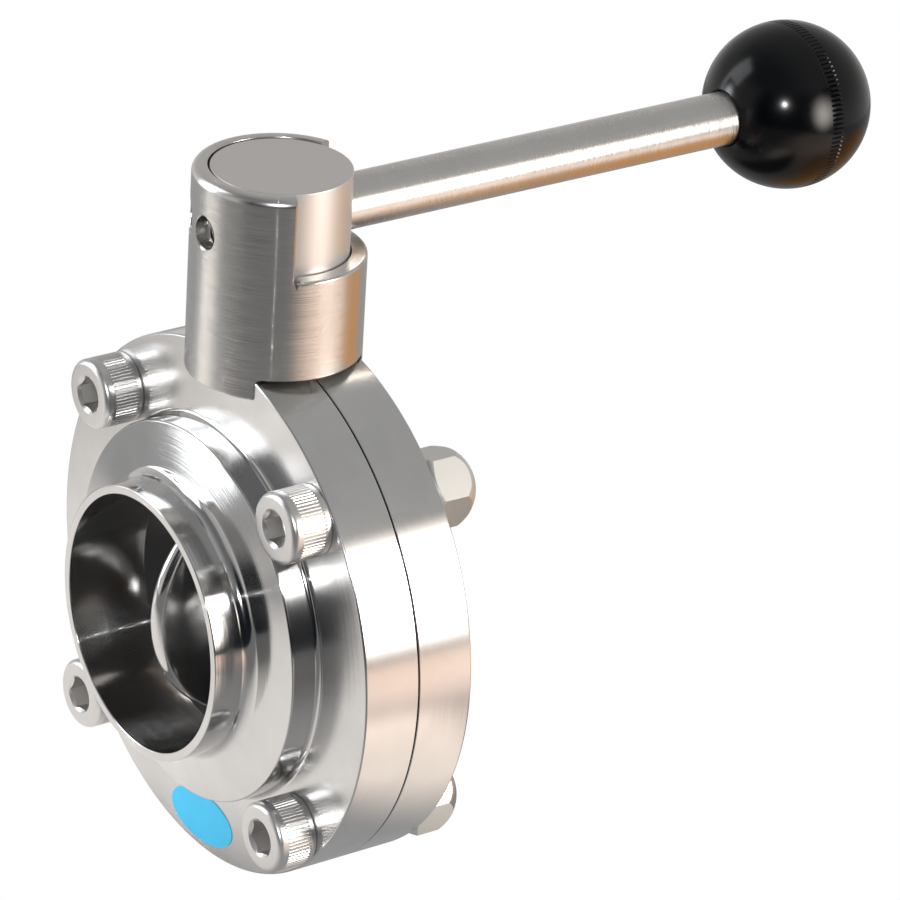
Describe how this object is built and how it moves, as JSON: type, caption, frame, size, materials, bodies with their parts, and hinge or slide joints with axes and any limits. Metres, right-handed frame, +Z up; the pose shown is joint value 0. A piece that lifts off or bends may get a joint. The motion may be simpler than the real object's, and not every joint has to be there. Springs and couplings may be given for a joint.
{
  "type": "weld-end butterfly valve",
  "caption": "Sanitary butterfly valve with plain weld ends, a bolted two-piece body and a pull-to-turn lever with a ball knob.",
  "frame": {"origin": "where the flow axis crosses the stem axis, in the joint plane of the body", "axes": "+Z up along the stem towards the lever, +Y along the flow and along the open lever, +X the way the lever points when closed"},
  "size_m": [0.1, 0.1549, 0.1397],
  "materials": {
    "body_steel": "polished",
    "disc_steel": "polished",
    "handle_steel": "brushed",
    "fastener_steel": "satin",
    "spring_steel": "satin",
    "seat_rubber": "matte",
    "bearing_plastic": "matte",
    "knob_plastic": "glossy",
    "insert_brass": "satin",
    "label_blue": "satin"
  },
  "bodies": {
    "valve_body": {"body_front": "body_steel", "body_rear": "body_steel", "seat_ring": "seat_rubber", "upper_bushing": "bearing_plastic", "lower_bushing": "bearing_plastic", "upper_stem_seal": "seat_rubber", "lower_stem_seal": "seat_rubber", "lower_thrust_pad": "bearing_plastic", "cap_screws": "fastener_steel", "cap_nuts": "fastener_steel", "handle_housing": "handle_steel", "hub_thrust_washer": "bearing_plastic", "test_label": "label_blue"},
    "rotor": {"disc_stem": "disc_steel", "handle_hub": "handle_steel", "hub_grub_screw": "fastener_steel", "pin_bush": "handle_steel", "lever_spring": "spring_steel"},
    "lever": {"lever_rod": "handle_steel", "lock_pin": "fastener_steel", "ball_knob": "knob_plastic", "knob_insert": "insert_brass"}
  },
  "joints": [
    {"name": "stem_turn", "type": "hinge", "parent": "valve_body", "child": "rotor", "pos_m": [0, 0, 0], "axis": [0, 0, 1], "range_deg": [-90, 0]},
    {"name": "lever_pull", "type": "slide", "parent": "rotor", "child": "lever", "axis": [0, 1, 0], "range_m": [-0.003, 0.002], "stiffness_N_per_m": 1500, "springref_m": -0.008, "deforming": ["lever_spring"]}
  ]
}
